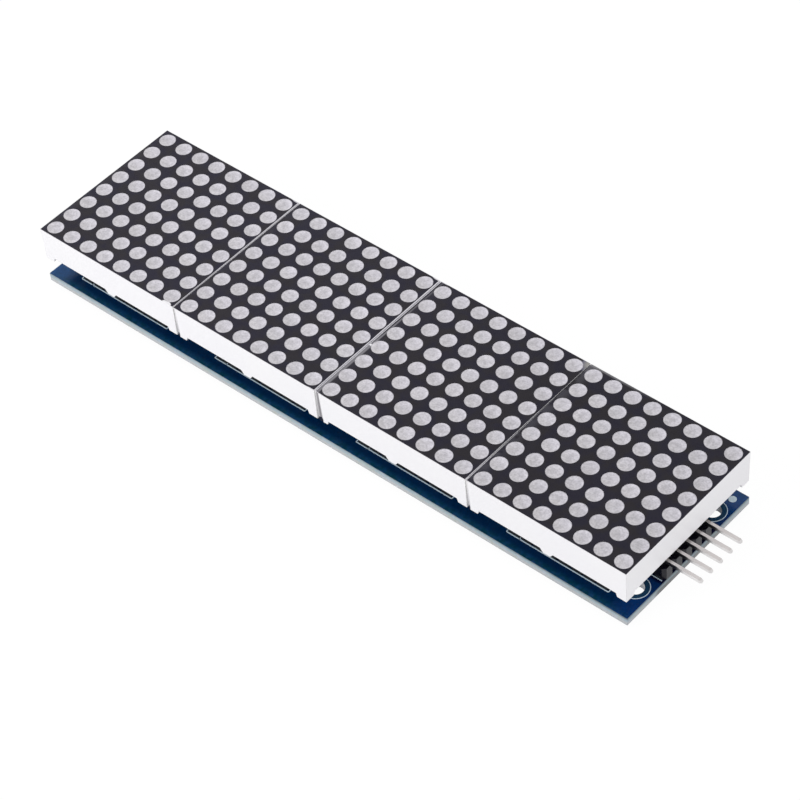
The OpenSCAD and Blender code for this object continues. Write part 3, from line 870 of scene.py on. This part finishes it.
def solder_pads():
    """Tinned pads under the leads of the chips and under the caps of the small parts."""
    bm = bmesh.new()
    base = board_top - ROOT
    height = PAD_T + ROOT
    for n in DISPLAYS:
        middle = middle_mm(f"driver_chip_{n}").x
        for i in range(LEADS):
            for side in (-1, 1):
                x = middle + spread(i, LEADS, LEAD_PITCH)
                y = side * (LEAD_TOE - LEAD_PAD_BACK)
                lay_block(bm, x, y, base, *LEAD_PAD, height)
        for part in ("bulk_capacitor", "bypass_capacitor", "set_resistor"):
            low, high = box_mm(f"{part}_{n}")
            width = high.y - low.y + 2 * CAP_PAD_ROOM
            for end in (low.x, high.x):
                lay_block(bm, end, (low.y + high.y) / 2, base, CAP_PAD_L, width, height)
    finish_piece("solder_pads", bm, FINISHES["solder"])


printing_on_top()
printing_below()
tracks_on_top()
tracks_below()
solder_pads()

# ---- Floor, light and camera ----

FLOOR_HALF = 3.0
# Grey of the floor for light that falls on it, and its white glow where it is seen itself
FLOOR_GREY = 0.8
FLOOR_GLOW = 1.04
FLOOR_GLOW_SHARE = 0.92
# Strength of the room's even light
AMBIENT = 0.66
# Distance and width of the two lamps, in metres
LAMP_AWAY = 1.2
LAMP_WIDTH = 0.7


def seen_directly(tree):
    """1 for rays to the camera, in gloss and through glass, which show the room itself."""
    path = tree.nodes.new("ShaderNodeLightPath")
    shown = path.outputs["Is Camera Ray"]
    for kind in ("Is Glossy Ray", "Is Transmission Ray"):
        either = tree.nodes.new("ShaderNodeMath")
        either.operation = "MAXIMUM"
        tree.links.new(shown, either.inputs[0])
        tree.links.new(path.outputs[kind], either.inputs[1])
        shown = either.outputs[0]
    return shown


def lay_floor():
    """A plain white floor that only the object's own soft shadow darkens."""
    bm = bmesh.new()
    place = Matrix.Translation((0, 0, cad_bounds[0][2]))
    bmesh.ops.create_grid(bm, x_segments=1, y_segments=1, size=FLOOR_HALF, matrix=place)
    mesh = bpy.data.meshes.new("floor")
    bm.to_mesh(mesh)
    bm.free()
    floor = bpy.data.objects.new("floor", mesh)
    bpy.context.scene.collection.objects.link(floor)
    material = bpy.data.materials.new("white_sweep")
    material.use_nodes = True
    tree = material.node_tree
    tree.nodes.clear()
    matt = tree.nodes.new("ShaderNodeBsdfDiffuse")
    matt.inputs["Color"].default_value = (FLOOR_GREY, FLOOR_GREY, FLOOR_GREY, 1)
    glow = tree.nodes.new("ShaderNodeEmission")
    share = tree.nodes.new("ShaderNodeMixShader")
    lit = tree.nodes.new("ShaderNodeMath")
    lit.operation = "MULTIPLY"
    lit.inputs[1].default_value = FLOOR_GLOW_SHARE
    tree.links.new(seen_directly(tree), lit.inputs[0])
    tree.links.new(lit.outputs[0], share.inputs[0])
    tree.links.new(matt.outputs[0], share.inputs[1])
    tree.links.new(glow.outputs[0], share.inputs[2])
    glow.inputs["Strength"].default_value = FLOOR_GLOW
    out = tree.nodes.new("ShaderNodeOutputMaterial")
    tree.links.new(share.outputs[0], out.inputs["Surface"])
    mesh.materials.append(material)


def light_room():
    """An even white room, which shows as full white behind the object."""
    world = bpy.data.worlds.new("white_room")
    bpy.context.scene.world = world
    world.use_nodes = True
    tree = world.node_tree
    back = tree.nodes["Background"]
    back.inputs["Color"].default_value = (1, 1, 1, 1)
    level = tree.nodes.new("ShaderNodeMapRange")
    level.inputs["To Min"].default_value = AMBIENT
    tree.links.new(seen_directly(tree), level.inputs["Value"])
    tree.links.new(level.outputs[0], back.inputs["Strength"])


def hang_lamp(name, direction, power):
    lamp = bpy.data.lights.new(name, "AREA")
    lamp.shape = "DISK"
    lamp.size = LAMP_WIDTH
    lamp.energy = power
    hung = bpy.data.objects.new(name, lamp)
    bpy.context.scene.collection.objects.link(hung)
    away = Vector(direction).normalized()
    hung.location = away * LAMP_AWAY
    hung.rotation_euler = away.to_track_quat("Z", "Y").to_euler()
    hung.visible_camera = False


def set_camera(target, azimuth, elevation, roll, distance, lens):
    """Aims the camera at the target, with angles in degrees and the distance in metres."""
    azimuth, elevation, roll = (math.radians(angle) for angle in (azimuth, elevation, roll))
    away = Vector((
        math.cos(elevation) * math.sin(azimuth),
        -math.cos(elevation) * math.cos(azimuth),
        math.sin(elevation)
    ))
    camera = bpy.data.cameras.new("camera")
    camera.lens = lens
    camera.sensor_width = 36
    camera.clip_start = 0.01
    held = bpy.data.objects.new("camera", camera)
    bpy.context.scene.collection.objects.link(held)
    turn = away.to_track_quat("Z", "Y").to_matrix() @ Matrix.Rotation(roll, 3, "Z")
    held.matrix_world = Matrix.Translation(target + away * distance) @ turn.to_4x4()
    bpy.context.scene.camera = held


lay_floor()
light_room()
hang_lamp("key", direction=(-0.35, -0.85, 0.6), power=5.2)
hang_lamp("fill", direction=(1.0, -0.1, 0.35), power=2.2)
set_camera(
    target=Vector((12.466, -9.024, face_z)) * MM, azimuth=44.90, elevation=46.37, roll=-5.63,
    distance=0.48507, lens=135.21
)
bpy.context.scene.view_settings.view_transform = "Standard"
